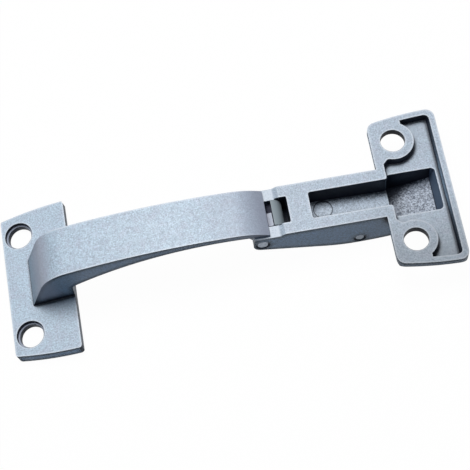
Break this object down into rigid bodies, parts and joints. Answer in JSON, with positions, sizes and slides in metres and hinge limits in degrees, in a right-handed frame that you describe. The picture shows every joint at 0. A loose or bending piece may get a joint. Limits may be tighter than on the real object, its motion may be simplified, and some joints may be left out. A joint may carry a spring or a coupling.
{
  "type": "corner cabinet hinge",
  "caption": "Bow hinge for cabinet corners: a curved bow leaf and a cored arm leaf, each with a screwed plate, folding flush on a pivot pin.",
  "frame": {"origin": "midway between the two screw holes of the bow leaf, on its mounting face", "axes": "+X runs from the bow leaf's plate to the pivot, +Z stands off the bow leaf's mounting face towards its bow, and +Y lies along the pivot pin"},
  "size_m": [0.1148, 0.0428, 0.0234],
  "materials": {
    "casting": "satin",
    "pin_steel": "satin"
  },
  "bodies": {
    "bow": {"bow_leaf": "casting"},
    "arm": {"arm_leaf": "casting", "pivot_pin": "pin_steel", "cross_pin": "pin_steel"}
  },
  "joints": [
    {"name": "pivot", "type": "hinge", "parent": "bow", "child": "arm", "pos_m": [0.0619, 0, 0.0042], "axis": [0, 1, 0], "range_deg": [-3, 169.8]}
  ]
}
